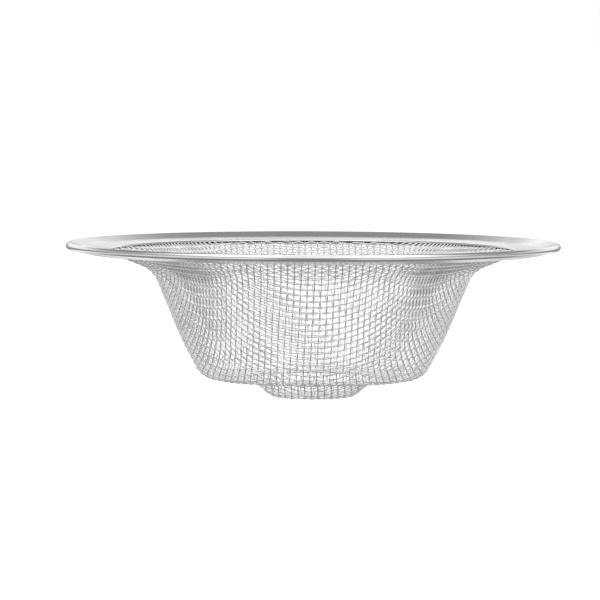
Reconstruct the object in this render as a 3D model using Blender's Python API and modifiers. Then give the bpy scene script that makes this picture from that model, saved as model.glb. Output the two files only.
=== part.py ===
"""Mesh basket strainer for a sink drain, in metres, +Z up.

A disc of plain-woven steel wire cloth is drawn into a round basket with a small sump in its floor.
Its edge is squeezed between the two layers of a sheet-steel rim, which is folded round it as a hem.
The strainer is turned about +Z, and the origin is the centre of the sump floor's underside.

The wire cloth is one closed shell here, as thick as two wires that cross, and thinner inside the hem.
Its single wires are too many and too fine to be solids of their own.
"""

import math

import bpy

MM = 0.001

# Rim: one strip of sheet, folded round its outer edge. It slopes down towards the basket.
RIM_RADIUS = 57.0 * MM  # a 4 1/2 inch strainer
HEIGHT = 35.7 * MM  # sump floor to the top of the rim
SHEET = 0.28 * MM
FOLD_RADIUS = 0.66 * MM  # the middle of the sheet
LIP_SLOPE = 20.0  # degrees, the upper layer's outer stretch
LIP_WIDTH = 3.4 * MM
UNDER_SLOPE = 11.0  # the lower layer closes up on the upper one here
LAND_SLOPE = 3.6  # the inner stretch, where the layers are parallel
LIP_BEND = 2.0 * MM
HEM_GAP = 0.76 * MM  # between the layers along the land
MOUTH_RADIUS = 47.0 * MM
CURL_SLOPE = 20.0  # both inner edges turn away from the cloth
CURL_WIDTH = 0.32 * MM
CURL_BEND = 0.4 * MM

# Wire cloth
CLOTH = 0.60 * MM  # two wires of 0.30 mm
SQUEEZED = 0.20 * MM  # in the hem, clear of both layers
SQUEEZED_FROM = 46.2 * MM
CLOTH_EDGE_RADIUS = 52.5 * MM

# Basket: the corners of the cloth's middle, as radius, height and bend radius, from the axis outwards
BASKET_CORNERS = (
    (0.0, 0.30 * MM, 0.0),
    (9.4 * MM, 0.30 * MM, 3.5 * MM),  # sump floor
    (14.3 * MM, 4.45 * MM, 1.3 * MM),  # sump lip
    (25.4 * MM, 4.45 * MM, 5.0 * MM),  # basket floor
    (30.2 * MM, 13.5 * MM, 60.0 * MM),  # wall
    (36.9 * MM, 29.6 * MM, 7.0 * MM),  # throat
)
THROAT_SLOPE = 21.5  # degrees, the flare up to the rim
HEM_BEND = 3.0 * MM  # where the cloth enters the hem

TURN_STEPS = 72
ARC_STEP = 14.0  # degrees between an arc's points, at most

RIM_STEEL = (0.66, 0.66, 0.65, 1.0)
WIRE_STEEL = (0.70, 0.70, 0.69, 1.0)


def stepped(point, degrees, distance):
    """The point at a distance from another one, in a direction."""
    angle = math.radians(degrees)
    return point[0] + distance * math.cos(angle), point[1] + distance * math.sin(angle)


def meeting(point, degrees, other, other_degrees):
    """Where two lines meet, each through a point and in a direction."""
    dr, dz = stepped((0, 0), degrees, 1)
    er, ez = stepped((0, 0), other_degrees, 1)
    gap_r, gap_z = other[0] - point[0], other[1] - point[1]
    return stepped(point, degrees, (gap_r * ez - gap_z * er) / (dr * ez - dz * er))


def heading(start, end):
    return math.degrees(math.atan2(end[1] - start[1], end[0] - start[0]))


def rounded(corners):
    """The path of (r, z, heading) through corners of (r, z, bend radius), with an arc at each inner one."""
    path = [(*corners[0][:2], heading(corners[0], corners[1]))]
    for before, corner, after in zip(corners, corners[1:], corners[2:]):
        way_in = heading(before, corner)
        turn = (heading(corner, after) - way_in + 180) % 360 - 180
        side = math.copysign(90, turn)
        reach = corner[2] * math.tan(math.radians(abs(turn) / 2))
        centre = stepped(stepped(corner, way_in, -reach), way_in + side, corner[2])
        steps = math.ceil(abs(turn) / ARC_STEP)
        for i in range(steps + 1):
            way = way_in + turn * i / steps
            path.append((*stepped(centre, way - side, corner[2]), way))
    path.append((*corners[-1][:2], heading(corners[-2], corners[-1])))
    return path


def thickened(path, thickness):
    """The outline of a strip round a path: out along its left side and back along its right side.

    thickness(r) is how thick the strip is at radius r.
    """
    left = [stepped(point, point[2] + 90, thickness(point[0]) / 2) for point in path]
    right = [stepped(point, point[2] - 90, thickness(point[0]) / 2) for point in path]
    return left + right[::-1]


def rim_corners():
    """The middle of the strip: upper inner edge, mouth, land, lip and fold, then back along the lower layer."""
    centre = RIM_RADIUS - FOLD_RADIUS - SHEET / 2, HEIGHT - FOLD_RADIUS - SHEET / 2

    # Two corners make the fold's round end, from the upper lip's slope to the lower one's.
    upper_side = LIP_SLOPE + 90
    lower_side = UNDER_SLOPE - 90
    half_turn = (upper_side - lower_side) / 4
    corner_distance = FOLD_RADIUS / math.cos(math.radians(half_turn))
    fold_top = stepped(centre, upper_side - half_turn, corner_distance)
    fold_bottom = stepped(centre, lower_side + half_turn, corner_distance)

    upper_bend = stepped(stepped(centre, upper_side, FOLD_RADIUS), LIP_SLOPE, -LIP_WIDTH)
    upper_mouth = meeting(upper_bend, LAND_SLOPE, (MOUTH_RADIUS, 0), 90)
    lower_land = stepped(upper_bend, LAND_SLOPE - 90, HEM_GAP + SHEET)
    lower_mouth = meeting(lower_land, LAND_SLOPE, (MOUTH_RADIUS, 0), 90)
    lower_bend = meeting(lower_land, LAND_SLOPE, fold_bottom, UNDER_SLOPE)

    upper_edge = stepped(upper_mouth, LAND_SLOPE + 180 - CURL_SLOPE, CURL_WIDTH)
    lower_edge = stepped(lower_mouth, LAND_SLOPE + 180 + CURL_SLOPE, CURL_WIDTH)
    return [
        (*upper_edge, 0.0),
        (*upper_mouth, CURL_BEND),
        (*upper_bend, LIP_BEND),
        (*fold_top, FOLD_RADIUS),
        (*fold_bottom, FOLD_RADIUS),
        (*lower_bend, LIP_BEND),
        (*lower_mouth, CURL_BEND),
        (*lower_edge, 0.0),
    ]


def cloth_corners():
    """The middle of the cloth: the basket, then on along the middle of the hem's gap."""
    upper_mouth, lower_mouth = rim_corners()[1], rim_corners()[-2]
    hem_middle = (upper_mouth[0] + lower_mouth[0]) / 2, (upper_mouth[1] + lower_mouth[1]) / 2
    hem_mouth = meeting(BASKET_CORNERS[-1], THROAT_SLOPE, hem_middle, LAND_SLOPE)
    edge = meeting(hem_middle, LAND_SLOPE, (CLOTH_EDGE_RADIUS, 0), 90)
    return [*BASKET_CORNERS, (*hem_mouth, HEM_BEND), (*edge, 0.0)]


def cloth_thickness(radius):
    """Full thickness in the basket, thinning to the squeezed one over the last stretch before the hem."""
    taper_start = BASKET_CORNERS[-1][0] + BASKET_CORNERS[-1][2] * math.sin(math.radians(THROAT_SLOPE + 4))
    share = min(1.0, max(0.0, (radius - taper_start) / (SQUEEZED_FROM - taper_start)))
    return CLOTH + (SQUEEZED - CLOTH) * share


def steel(name, colour, roughness):
    material = bpy.data.materials.new(name)
    material.use_nodes = True
    principled = material.node_tree.nodes["Principled BSDF"]
    principled.inputs["Base Color"].default_value = colour
    principled.inputs["Metallic"].default_value = 1.0
    principled.inputs["Roughness"].default_value = roughness
    return material


def turned(name, outline, material, closed):
    """Turns an outline of (r, z) points about +Z. An open outline starts and ends on the axis."""
    edges = [(i, i + 1) for i in range(len(outline) - 1)]
    if closed:
        edges.append((len(outline) - 1, 0))
    mesh = bpy.data.meshes.new(name)
    mesh.from_pydata([(r, 0.0, z) for r, z in outline], edges, [])
    mesh.materials.append(material)
    piece = bpy.data.objects.new(name, mesh)

    screw = piece.modifiers.new("Turn", "SCREW")
    screw.axis = "Z"
    screw.angle = math.tau
    screw.steps = TURN_STEPS
    screw.render_steps = TURN_STEPS
    screw.use_merge_vertices = True
    screw.merge_threshold = 0.00001
    screw.use_smooth_shade = True
    return piece


def make_rim():
    outline = thickened(rounded(rim_corners()), lambda radius: SHEET)
    return turned("rim", outline, steel("rim_steel", RIM_STEEL, 0.22), closed=True)


def make_mesh_basket():
    outline = thickened(rounded(cloth_corners()), cloth_thickness)
    return turned("mesh_basket", outline, steel("wire_steel", WIRE_STEEL, 0.35), closed=False)


def main():
    for old in list(bpy.data.objects):
        bpy.data.objects.remove(old, do_unlink=True)
    strainer = bpy.data.collections.new("basket_strainer")
    bpy.context.scene.collection.children.link(strainer)
    for piece in (make_rim(), make_mesh_basket()):
        strainer.objects.link(piece)


main()
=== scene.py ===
"""Mesh basket strainer, in metres: every wire of the woven cloth, and the hemmed rim that grips it.

The cloth is draped before it is built. Woven wire can't stretch, but the wires can turn at each knot
where two of them cross. So the drape starts from the two middle wires, which run up the wall, and each
further knot lies on the basket's surface, one pitch from both of its neighbours. The sump is pressed
afterwards, and stretches the cloth only where it is.
"""

import math

import bpy
import numpy as np
from mathutils import Matrix, Vector

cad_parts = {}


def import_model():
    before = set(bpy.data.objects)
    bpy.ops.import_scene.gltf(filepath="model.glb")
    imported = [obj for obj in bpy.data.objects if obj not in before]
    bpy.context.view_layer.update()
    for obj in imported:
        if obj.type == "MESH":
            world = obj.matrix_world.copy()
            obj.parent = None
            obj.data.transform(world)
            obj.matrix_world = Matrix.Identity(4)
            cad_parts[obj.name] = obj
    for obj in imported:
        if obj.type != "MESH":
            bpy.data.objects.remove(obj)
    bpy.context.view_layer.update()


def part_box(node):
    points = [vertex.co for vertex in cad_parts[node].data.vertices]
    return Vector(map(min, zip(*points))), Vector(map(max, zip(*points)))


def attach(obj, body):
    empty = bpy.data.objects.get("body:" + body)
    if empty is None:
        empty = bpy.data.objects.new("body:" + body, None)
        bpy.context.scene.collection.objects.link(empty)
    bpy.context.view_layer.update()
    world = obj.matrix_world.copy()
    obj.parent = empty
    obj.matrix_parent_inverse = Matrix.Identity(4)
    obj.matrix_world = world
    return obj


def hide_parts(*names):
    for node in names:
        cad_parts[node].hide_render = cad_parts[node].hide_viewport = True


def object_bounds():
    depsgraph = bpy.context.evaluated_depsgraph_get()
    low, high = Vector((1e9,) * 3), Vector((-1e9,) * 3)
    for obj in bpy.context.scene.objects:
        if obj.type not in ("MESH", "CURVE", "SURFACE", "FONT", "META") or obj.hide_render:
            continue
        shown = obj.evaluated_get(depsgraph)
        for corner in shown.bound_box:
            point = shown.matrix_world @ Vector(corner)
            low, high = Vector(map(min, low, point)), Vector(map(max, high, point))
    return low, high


MM = 0.001

# Rim, as in the CAD, with the layers closed up on the cloth
SHEET = 0.28 * MM
FOLD_RADIUS = 0.66 * MM
LIP_SLOPE = 20.0
LIP_WIDTH = 3.4 * MM
UNDER_SLOPE = 12.0
LAND_SLOPE = 3.6
LIP_BEND = 2.0 * MM
HEM_GAP = 0.60 * MM
MOUTH_RADIUS = 47.0 * MM
CURL_SLOPE = -50.0  # both inner edges nip the cloth
CURL_WIDTH = 0.32 * MM
CURL_BEND = 0.4 * MM
RIM_STEPS = 288
MERGE_DISTANCE = 0.01 * MM

# Wire cloth: about 17 mesh. Pressing it has drawn the wires that run up the front a little apart.
PITCH_X = 1.51 * MM
PITCH_Y = 1.45 * MM
LEAN = 2.5  # degrees from upright on the wall, as the cloth turned a little in the press
LEAST_REACH = 0.3 * MM  # from the line between a knot's neighbours. The wires touch, and the cloth stretches.
WIRE_RADIUS = 0.15 * MM
CRIMP = 0.15 * MM  # how far a wire swings to each side of the cloth's middle
CLOTH_EDGE_RADIUS = 52.3 * MM
POINTS_PER_PITCH = 4
SURFACE_STEP = PITCH_X / 400  # fine enough that no knot overshoots its pitch
KNOT_ROUNDS = 12
FEWEST_KNOTS = 3  # in a wire
WIRE_OBJECTS = 4  # each way

# Basket: the corners of the cloth's middle, as radius, height and bend radius, as in the CAD
BASKET_CORNERS = (
    (0.0, 0.30 * MM, 0.0),
    (9.4 * MM, 0.30 * MM, 3.5 * MM),  # sump floor
    (14.3 * MM, 4.45 * MM, 1.3 * MM),  # sump lip
    (25.4 * MM, 4.45 * MM, 5.0 * MM),  # basket floor
    (30.2 * MM, 13.5 * MM, 60.0 * MM),  # wall
    (36.9 * MM, 29.6 * MM, 7.0 * MM),  # throat
)
FLOOR_RADIUS, FLOOR_HEIGHT = BASKET_CORNERS[3][:2]
THROAT_RADIUS = BASKET_CORNERS[5][0]
THROAT_SLOPE = 21.5
HEM_BEND = 3.0 * MM

# Camera: it looks a little down on the rim from far off, and sees the weave slightly askew
CAMERA_DISTANCE = 0.95
NEAREST_SEEN = 0.05
CAMERA_AZIMUTH = 1.5
EYE_ABOVE_RIM = 46 * MM
CAMERA_ROLL = 0.24
AIM_ASIDE = -3.0 * MM
AIM_BELOW_RIM = 13.35 * MM
LENS = 247.5

# Studio: soft bands of light on walls that are far off, as (degrees above the horizon, brightness)
DIM, LIT, OVERHEAD = 0.35, 1.25, 2.4
FRONT_CENTRE = ((-10, DIM), (27, LIT))
FRONT_SIDES = ((-50, DIM), (-30, LIT), (-12, LIT), (3, DIM), (22, LIT), (90, OVERHEAD))
BACK = (
    (-40, DIM), (-15, LIT), (-9, DIM), (3, DIM), (9, LIT),
    (18, LIT), (32, DIM), (55, DIM), (90, OVERHEAD),
)
CENTRE_ENDS, SIDES_START = 0.1, 0.45  # how far aside, of 1
FRONT_ENDS, BACK_STARTS = -0.3, 0.3  # how far back, from -1 to 1

# Floor and backdrop
STAGE_SIZE = 8.0
BACKDROP_RADIUS = 3.9
FLOOR_DROP = 0.2 * MM
FLOOR_GREY = 0.15
FLOOR_GLOW = 0.94  # on top of the studio's light on it, which together make it white
BACKDROP_GLOW = 1.0

# Steel. Each noise has a scale per metre and a detail, and its middle values carry the whole change.
NOISE_LOW, NOISE_HIGH = 0.35, 0.65
BUMP_DEPTH = 0.01 * MM
RIM_CLEAN, RIM_SMUDGED = (0.66, 0.66, 0.66, 1), (0.60, 0.60, 0.60, 1)
RIM_ROUGHNESS = 0.17, 0.27
RINGS = 6000.0, 3.0
RING_LOW, RING_HIGH = 0.3, 0.7
RING_ROUGHNESS = 0.03
RING_BUMP = 0.12
SMUDGES = 70.0, 4.0
RUBBED_FROM, RUBBED_TO = 56.2 * MM, 57.0 * MM
RUBBED_SMOOTHER = 0.06
WIRE_BRIGHT, WIRE_DULL = (0.80, 0.80, 0.80, 1), (0.67, 0.67, 0.67, 1)
WIRE_ROUGHNESS = 0.22, 0.32
PATCHES = 260.0, 3.0
MARKS = 5000.0, 2.0
MARK_BUMP = 0.15
SCUFFED_TO, UNSCUFFED_FROM = 0.1 * MM, 0.9 * MM
SCUFFED_ROUGHER = 0.12


# Outlines, in the plane of radius and height


def stepped(point, degrees, distance):
    """The point at a distance from another one, in a direction."""
    angle = math.radians(degrees)
    return point[0] + distance * math.cos(angle), point[1] + distance * math.sin(angle)


def meeting(point, degrees, other, other_degrees):
    """Where two lines meet, each through a point and in a direction."""
    dr, dz = stepped((0, 0), degrees, 1)
    er, ez = stepped((0, 0), other_degrees, 1)
    gap_r, gap_z = other[0] - point[0], other[1] - point[1]
    return stepped(point, degrees, (gap_r * ez - gap_z * er) / (dr * ez - dz * er))


def heading(start, end):
    return math.degrees(math.atan2(end[1] - start[1], end[0] - start[0]))


def rounded(corners, arc_step):
    """The path of (r, z, heading) through corners of (r, z, bend radius), with an arc at each inner one."""
    path = [(*corners[0][:2], heading(corners[0], corners[1]))]
    for before, corner, after in zip(corners, corners[1:], corners[2:]):
        way_in = heading(before, corner)
        turn = (heading(corner, after) - way_in + 180) % 360 - 180
        side = math.copysign(90, turn)
        reach = corner[2] * math.tan(math.radians(abs(turn) / 2))
        centre = stepped(stepped(corner, way_in, -reach), way_in + side, corner[2])
        steps = math.ceil(abs(turn) / arc_step)
        for i in range(steps + 1):
            way = way_in + turn * i / steps
            path.append((*stepped(centre, way - side, corner[2]), way))
    path.append((*corners[-1][:2], heading(corners[-2], corners[-1])))
    return path


def rim_corners(rim_radius, height):
    """The middle of the folded strip: upper inner edge, mouth, land, lip and fold, then the lower layer."""
    centre = rim_radius - FOLD_RADIUS - SHEET / 2, height - FOLD_RADIUS - SHEET / 2

    # Two corners make the fold's round end, from the upper lip's slope to the lower one's.
    upper_side = LIP_SLOPE + 90
    lower_side = UNDER_SLOPE - 90
    half_turn = (upper_side - lower_side) / 4
    corner_distance = FOLD_RADIUS / math.cos(math.radians(half_turn))
    fold_top = stepped(centre, upper_side - half_turn, corner_distance)
    fold_bottom = stepped(centre, lower_side + half_turn, corner_distance)

    upper_bend = stepped(stepped(centre, upper_side, FOLD_RADIUS), LIP_SLOPE, -LIP_WIDTH)
    upper_mouth = meeting(upper_bend, LAND_SLOPE, (MOUTH_RADIUS, 0), 90)
    lower_land = stepped(upper_bend, LAND_SLOPE - 90, HEM_GAP + SHEET)
    lower_mouth = meeting(lower_land, LAND_SLOPE, (MOUTH_RADIUS, 0), 90)
    lower_bend = meeting(lower_land, LAND_SLOPE, fold_bottom, UNDER_SLOPE)

    upper_edge = stepped(upper_mouth, LAND_SLOPE + 180 - CURL_SLOPE, CURL_WIDTH)
    lower_edge = stepped(lower_mouth, LAND_SLOPE + 180 + CURL_SLOPE, CURL_WIDTH)
    return [
        (*upper_edge, 0.0),
        (*upper_mouth, CURL_BEND),
        (*upper_bend, LIP_BEND),
        (*fold_top, FOLD_RADIUS),
        (*fold_bottom, FOLD_RADIUS),
        (*lower_bend, LIP_BEND),
        (*lower_mouth, CURL_BEND),
        (*lower_edge, 0.0),
    ]


def cloth_corners(rim):
    """The middle of the cloth: the basket, then on between the hem's layers, two pitches past its edge."""
    upper_mouth, lower_mouth = rim[1], rim[-2]
    hem_middle = (upper_mouth[0] + lower_mouth[0]) / 2, (upper_mouth[1] + lower_mouth[1]) / 2
    hem_mouth = meeting(BASKET_CORNERS[-1], THROAT_SLOPE, hem_middle, LAND_SLOPE)
    beyond_edge = meeting(hem_middle, LAND_SLOPE, (CLOTH_EDGE_RADIUS + 2 * PITCH_X, 0), 90)
    return [*BASKET_CORNERS, (*hem_mouth, HEM_BEND), (*beyond_edge, 0.0)]


# Rim


def make_rim(corners, material):
    path = rounded(corners, arc_step=6)
    left = [stepped(point, point[2] + 90, SHEET / 2) for point in path]
    right = [stepped(point, point[2] - 90, SHEET / 2) for point in path]
    outline = left + right[::-1]
    edges = [(i, (i + 1) % len(outline)) for i in range(len(outline))]
    mesh = bpy.data.meshes.new("hemmed_rim")
    mesh.from_pydata([(r, 0.0, z) for r, z in outline], edges, [])
    mesh.materials.append(material)
    rim = bpy.data.objects.new("hemmed_rim", mesh)
    bpy.context.collection.objects.link(rim)

    screw = rim.modifiers.new("Turn", "SCREW")
    screw.steps = screw.render_steps = RIM_STEPS
    screw.use_merge_vertices = True
    screw.merge_threshold = MERGE_DISTANCE
    screw.use_smooth_shade = True
    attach(rim, "root")
    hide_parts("rim")


# Wire cloth


class Surface:
    """The basket's surface of revolution, from the path of the cloth's middle."""

    def __init__(self, path):
        points = np.array(path)
        along = np.concatenate([[0.0], np.cumsum(np.hypot(*np.diff(points[:, :2], axis=0).T))])
        self.along = np.arange(0.0, along[-1], SURFACE_STEP)
        self.r, self.z, slope = (np.interp(self.along, along, column) for column in points.T)
        self.normal_r = -np.sin(np.radians(slope))
        self.normal_z = np.cos(np.radians(slope))

    def normal(self, points):
        """The unit normals at points on the surface, which face into the basket."""
        radius = np.hypot(points[..., 0], points[..., 1])
        inward = np.interp(radius, self.r, self.normal_r) / np.maximum(radius, 1e-9)
        up = np.interp(radius, self.r, self.normal_z)
        return np.stack([points[..., 0] * inward, points[..., 1] * inward, up], axis=-1)

    def height_above(self, point):
        """How far a point near the surface lies above it, along the normal."""
        radius = math.hypot(point[0], point[1])
        nearest = np.argmin((self.r - radius) ** 2 + (self.z - point[2]) ** 2)
        from_r, from_z = radius - self.r[nearest], point[2] - self.z[nearest]
        return from_r * self.normal_r[nearest] + from_z * self.normal_z[nearest]

    def first_wire(self, pitch, azimuth):
        """The knots of a wire from the axis out, a pitch apart. It leaves its meridian slowly as it leans."""
        turned = math.radians(azimuth)
        knots = [(0.0, 0.0, self.z[0])]
        for r, z in zip(self.r, self.z):
            if FLOOR_RADIUS < r < THROAT_RADIUS:
                turned += math.tan(math.radians(LEAN)) * SURFACE_STEP / r
            place = r * math.cos(turned), r * math.sin(turned), z
            if math.dist(place, knots[-1]) >= pitch:
                knots.append(place)
        return np.array(knots)


def next_knot(surface, a, b, behind):
    """The knot a pitch from each of its neighbours a and b, on the far side from the knot behind them."""
    across = b - a
    share = (PITCH_X**2 - PITCH_Y**2 + np.dot(across, across)) / (2 * np.dot(across, across))
    middle = a + share * across
    reach = math.sqrt(max(PITCH_X**2 - share**2 * np.dot(across, across), LEAST_REACH**2))
    up = np.cross(across, middle - behind)
    up *= math.copysign(1, np.dot(up, surface.normal(middle))) / np.linalg.norm(up)
    out = np.cross(across, up)
    out *= math.copysign(1, np.dot(out, middle - behind)) / np.linalg.norm(out)
    lift = 0.0
    for _ in range(KNOT_ROUNDS):
        knot = middle + reach * (math.cos(lift) * out + math.sin(lift) * up)
        lift -= surface.height_above(knot) / reach
    return knot


def draped_quarter(surface, wire_x, wire_y):
    """The knots [i, j] between two of the first wires, with not-a-number beyond the cloth's edge."""
    quarter = np.full((len(wire_x), len(wire_y), 3), np.nan)
    quarter[:, 0], quarter[0, :] = wire_x, wire_y
    for i in range(1, len(wire_x)):
        for j in range(1, len(wire_y)):
            a, b = quarter[i - 1, j], quarter[i, j - 1]
            if np.isfinite(a[0]) and np.isfinite(b[0]):
                knot = next_knot(surface, a, b, quarter[i - 1, j - 1])
                if math.hypot(knot[0], knot[1]) < surface.r[-1] - PITCH_X:
                    quarter[i, j] = knot
    return quarter


def draped_net(surface):
    """The knots of the whole net as an array [i, j]. Half of it is the other half, turned half round."""
    wire_y = surface.first_wire(PITCH_Y, 90)
    right = draped_quarter(surface, surface.first_wire(PITCH_X, 0), wire_y)
    left = draped_quarter(surface, surface.first_wire(PITCH_X, 180), wire_y)
    half = np.concatenate([left[:0:-1], right])
    return np.concatenate([half[::-1, :0:-1] * (-1, -1, 1), half], axis=1)


def smooth_line(knots):
    """A Catmull-Rom curve through the knots."""
    ends = [2 * knots[0] - knots[1]], [2 * knots[-1] - knots[-2]]
    padded = np.concatenate([ends[0], knots, ends[1]])
    a, b, c, d = padded[:-3], padded[1:-2], padded[2:-1], padded[3:]
    shares = np.arange(POINTS_PER_PITCH)[None, :, None] / POINTS_PER_PITCH
    a, b, c, d = (column[:, None, :] for column in (a, b, c, d))
    line = b + 0.5 * shares * (c - a + shares * (2 * a - 5 * b + 4 * c - d + shares * (3 * (b - c) + d - a)))
    return np.concatenate([line.reshape(-1, 3), knots[-1:]])


def wire_line(surface, knots, starts_over):
    """The middle of one wire, which passes over and under the wires that cross it."""
    inside = np.hypot(knots[:, 0], knots[:, 1]) < CLOTH_EDGE_RADIUS
    places = np.nonzero(inside)[0]
    if len(places) < FEWEST_KNOTS:
        return None
    line = smooth_line(knots[places])
    radius = np.hypot(line[:, 0], line[:, 1])
    on_floor = radius < FLOOR_RADIUS
    line[on_floor, 2] = np.interp(radius[on_floor], surface.r, surface.z)
    phase = places[0] + starts_over + np.arange(len(line)) / POINTS_PER_PITCH
    return line + surface.normal(line) * (CRIMP * np.cos(np.pi * phase))[:, None]


def make_wires(name, lines, material):
    curve = bpy.data.curves.new(name, "CURVE")
    curve.dimensions = "3D"
    curve.bevel_depth = WIRE_RADIUS
    curve.bevel_resolution = 3
    curve.use_fill_caps = True
    for line in lines:
        spline = curve.splines.new("POLY")
        spline.points.add(len(line) - 1)
        spline.points.foreach_set("co", np.column_stack([line, np.ones(len(line))]).ravel())
    curve.materials.append(material)
    wires = bpy.data.objects.new(name, curve)
    bpy.context.collection.objects.link(wires)
    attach(wires, "root")
    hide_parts("mesh_basket")


def make_cloth(corners, material):
    """Every wire of the cloth, draped on the basket without its sump, which then takes the wires down."""
    surface = Surface(rounded(corners, arc_step=2))
    unsunk = Surface(rounded([(0.0, FLOOR_HEIGHT, 0.0), *corners[3:]], arc_step=2))
    net = draped_net(unsunk)
    for name, rows, parity in (("warp", net, 0), ("weft", net.transpose(1, 0, 2), 1)):
        lines = [wire_line(surface, knots, i + parity) for i, knots in enumerate(rows)]
        lines = [line for line in lines if line is not None]
        for part in range(WIRE_OBJECTS):
            start, end = (i * len(lines) // WIRE_OBJECTS for i in (part, part + 1))
            make_wires(f"{name}_wires_{part + 1}", lines[start:end], material)


# Materials


def new_material(name):
    material = bpy.data.materials.new(name)
    material.use_nodes = True
    return material


def add_node(owner, kind, inputs=(), **settings):
    """Adds a shader node to a material or world, with constants for its inputs or links from other nodes."""
    tree = owner.node_tree
    node = tree.nodes.new(kind)
    for setting, value in settings.items():
        setattr(node, setting, value)
    for name, value in dict(inputs).items():
        if isinstance(value, bpy.types.NodeSocket):
            tree.links.new(value, node.inputs[name])
        else:
            node.inputs[name].default_value = value
    return node


def spread(owner, source, low, high, to_low, to_high, interpolation="LINEAR"):
    """A value that goes from to_low to to_high as the source goes from low to high."""
    stops = {"Value": source, "From Min": low, "From Max": high, "To Min": to_low, "To Max": to_high}
    return add_node(owner, "ShaderNodeMapRange", stops, interpolation_type=interpolation).outputs["Result"]


def added(owner, first, second):
    return add_node(owner, "ShaderNodeMath", {0: first, 1: second}, operation="ADD").outputs[0]


def mixed(owner, factor, first, second):
    """A mix of two colours. The node's colour sockets share their names with others, so they go by number."""
    inputs = {0: factor, 6: first, 7: second}
    return add_node(owner, "ShaderNodeMix", inputs, data_type="RGBA").outputs[2]


def cloudy(material, place, scale, detail):
    inputs = {"Vector": place, "Scale": scale, "Detail": detail}
    return add_node(material, "ShaderNodeTexNoise", inputs).outputs["Fac"]


def finish_steel(material, colour, roughness, height, strength):
    """Links the colour, the roughness and a bump from the height to the material's metal."""
    bump = {"Height": height, "Strength": strength, "Distance": BUMP_DEPTH}
    normal = add_node(material, "ShaderNodeBump", bump).outputs[0]
    principled = material.node_tree.nodes["Principled BSDF"]
    principled.inputs["Metallic"].default_value = 1.0
    for socket, source in (("Base Color", colour), ("Roughness", roughness), ("Normal", normal)):
        material.node_tree.links.new(source, principled.inputs[socket])
    return material


def rim_steel():
    """Bright sheet with fine rings from the spinning, cloudy smudges, and a fold rubbed smoother by hands."""
    material = new_material("rim_steel")
    place = add_node(material, "ShaderNodeTexCoord").outputs["Object"]
    split = add_node(material, "ShaderNodeSeparateXYZ", {"Vector": place})
    flat = add_node(material, "ShaderNodeCombineXYZ", {"X": split.outputs["X"], "Y": split.outputs["Y"]})
    from_axis = add_node(material, "ShaderNodeVectorMath", {0: flat.outputs[0]}, operation="LENGTH")
    radius = from_axis.outputs["Value"]
    profile = add_node(material, "ShaderNodeCombineXYZ", {"X": radius, "Z": split.outputs["Z"]}).outputs[0]

    rings = cloudy(material, profile, *RINGS)
    smudges = cloudy(material, place, *SMUDGES)
    grain = spread(material, rings, RING_LOW, RING_HIGH, -RING_ROUGHNESS, RING_ROUGHNESS)
    rubbed = spread(material, radius, RUBBED_FROM, RUBBED_TO, 0.0, -RUBBED_SMOOTHER)
    roughness = spread(material, smudges, NOISE_LOW, NOISE_HIGH, *RIM_ROUGHNESS)
    roughness = added(material, added(material, roughness, grain), rubbed)
    smudged = spread(material, smudges, NOISE_LOW, NOISE_HIGH, 0.0, 1.0)
    colour = mixed(material, smudged, RIM_CLEAN, RIM_SMUDGED)
    return finish_steel(material, colour, roughness, rings, RING_BUMP)


def wire_steel():
    """Drawn wire: patches brighter and duller, fine drawing marks, and scuffs where the sump stands."""
    material = new_material("wire_steel")
    place = add_node(material, "ShaderNodeTexCoord").outputs["Object"]
    height = add_node(material, "ShaderNodeSeparateXYZ", {"Vector": place}).outputs["Z"]

    patches = cloudy(material, place, *PATCHES)
    marks = cloudy(material, place, *MARKS)
    scuffs = spread(material, height, SCUFFED_TO, UNSCUFFED_FROM, SCUFFED_ROUGHER, 0.0)
    roughness = added(material, spread(material, patches, NOISE_LOW, NOISE_HIGH, *WIRE_ROUGHNESS), scuffs)
    dulled = spread(material, patches, NOISE_LOW, NOISE_HIGH, 0.0, 1.0)
    colour = mixed(material, dulled, WIRE_BRIGHT, WIRE_DULL)
    return finish_steel(material, colour, roughness, marks, MARK_BUMP)


# Stage


def glowing(name, grey, glow):
    """A dull surface of some grey that also gives off white light."""
    material = new_material(name)
    principled = material.node_tree.nodes["Principled BSDF"]
    principled.inputs["Base Color"].default_value = (grey, grey, grey, 1)
    principled.inputs["Roughness"].default_value = 1.0
    principled.inputs["Specular IOR Level"].default_value = 0.0
    principled.inputs["Emission Color"].default_value = (1, 1, 1, 1)
    principled.inputs["Emission Strength"].default_value = glow
    return material


def make_floor():
    """The floor and the backdrop. The steel mirrors the studio round them instead."""
    bpy.ops.mesh.primitive_plane_add(size=STAGE_SIZE)
    floor = bpy.context.active_object
    floor.name = "floor"
    floor.location.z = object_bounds()[0][2] - FLOOR_DROP
    floor.data.materials.append(glowing("floor", FLOOR_GREY, FLOOR_GLOW))

    bpy.ops.mesh.primitive_cylinder_add(
        radius=BACKDROP_RADIUS, depth=STAGE_SIZE, vertices=96, end_fill_type="NOTHING"
    )
    backdrop = bpy.context.active_object
    backdrop.name = "backdrop"
    backdrop.data.materials.append(glowing("backdrop", 0.0, BACKDROP_GLOW))
    backdrop.visible_diffuse = False
    backdrop.visible_shadow = False
    for surface in (floor, backdrop):
        surface.visible_glossy = False


def wall(world, height, bands):
    """The light of one wall: a ramp of greys by the sine of the elevation, in shares of OVERHEAD."""
    node = add_node(world, "ShaderNodeValToRGB", {"Fac": height})
    node.color_ramp.interpolation = "EASE"
    elements = node.color_ramp.elements
    while len(elements) < len(bands):
        elements.new(0.5)
    for element, (elevation, brightness) in zip(elements, bands):
        element.position = (math.sin(math.radians(elevation)) + 1) / 2
        element.color = (brightness / OVERHEAD,) * 3 + (1,)
    return node.outputs["Color"]


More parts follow.
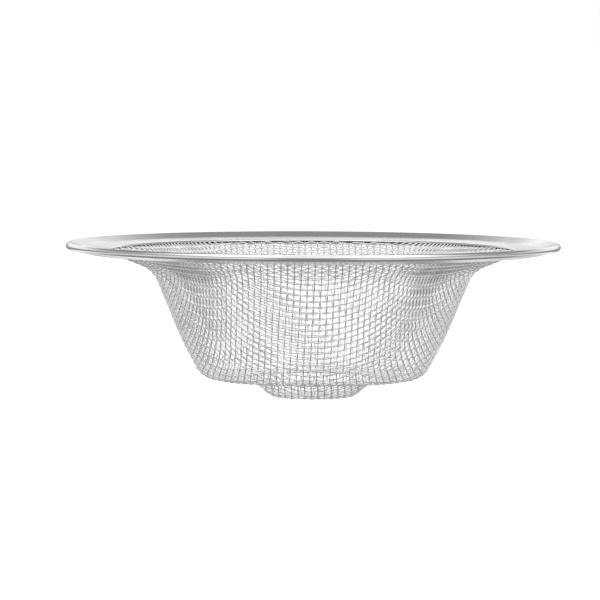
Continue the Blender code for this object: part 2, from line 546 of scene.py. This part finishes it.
def make_light():
    """The studio's walls all round: the middle of the front, its sides and the back, blended softly."""
    world = bpy.data.worlds.new("studio")
    world.use_nodes = True
    bpy.context.scene.world = world
    direction = add_node(world, "ShaderNodeTexCoord").outputs["Generated"]
    split = add_node(world, "ShaderNodeSeparateXYZ", {"Vector": direction})
    height = spread(world, split.outputs["Z"], -1.0, 1.0, 0.0, 1.0)
    aside = add_node(world, "ShaderNodeMath", {0: split.outputs["X"]}, operation="ABSOLUTE").outputs[0]
    sides_share = spread(world, aside, CENTRE_ENDS, SIDES_START, 0.0, 1.0, "SMOOTHSTEP")
    back_share = spread(world, split.outputs["Y"], FRONT_ENDS, BACK_STARTS, 0.0, 1.0, "SMOOTHSTEP")

    centre, sides, back = (wall(world, height, bands) for bands in (FRONT_CENTRE, FRONT_SIDES, BACK))
    light = mixed(world, back_share, mixed(world, sides_share, centre, sides), back)
    background = world.node_tree.nodes["Background"]
    world.node_tree.links.new(light, background.inputs["Color"])
    background.inputs["Strength"].default_value = OVERHEAD
    bpy.context.scene.view_settings.view_transform = "Standard"


def make_camera(height):
    azimuth = math.radians(CAMERA_AZIMUTH)
    towards = Vector((math.sin(azimuth), -math.cos(azimuth), 0))
    right = Vector((math.cos(azimuth), math.sin(azimuth), 0))
    place = towards * CAMERA_DISTANCE + Vector((0, 0, height + EYE_ABOVE_RIM))
    aim = right * AIM_ASIDE + Vector((0, 0, height - AIM_BELOW_RIM))
    camera = bpy.data.objects.new("camera", bpy.data.cameras.new("camera"))
    camera.data.lens = LENS
    camera.data.clip_start = NEAREST_SEEN
    turn = (aim - place).to_track_quat("-Z", "Y").to_matrix().to_4x4()
    roll = Matrix.Rotation(math.radians(CAMERA_ROLL), 4, "Z")
    camera.matrix_world = Matrix.Translation(place) @ turn @ roll
    bpy.context.collection.objects.link(camera)
    bpy.context.scene.camera = camera


def main():
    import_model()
    rim_radius, _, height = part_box("rim")[1]

    rim = rim_corners(rim_radius, height)
    make_rim(rim, rim_steel())
    make_cloth(cloth_corners(rim), wire_steel())
    make_floor()
    make_light()
    make_camera(height)


main()
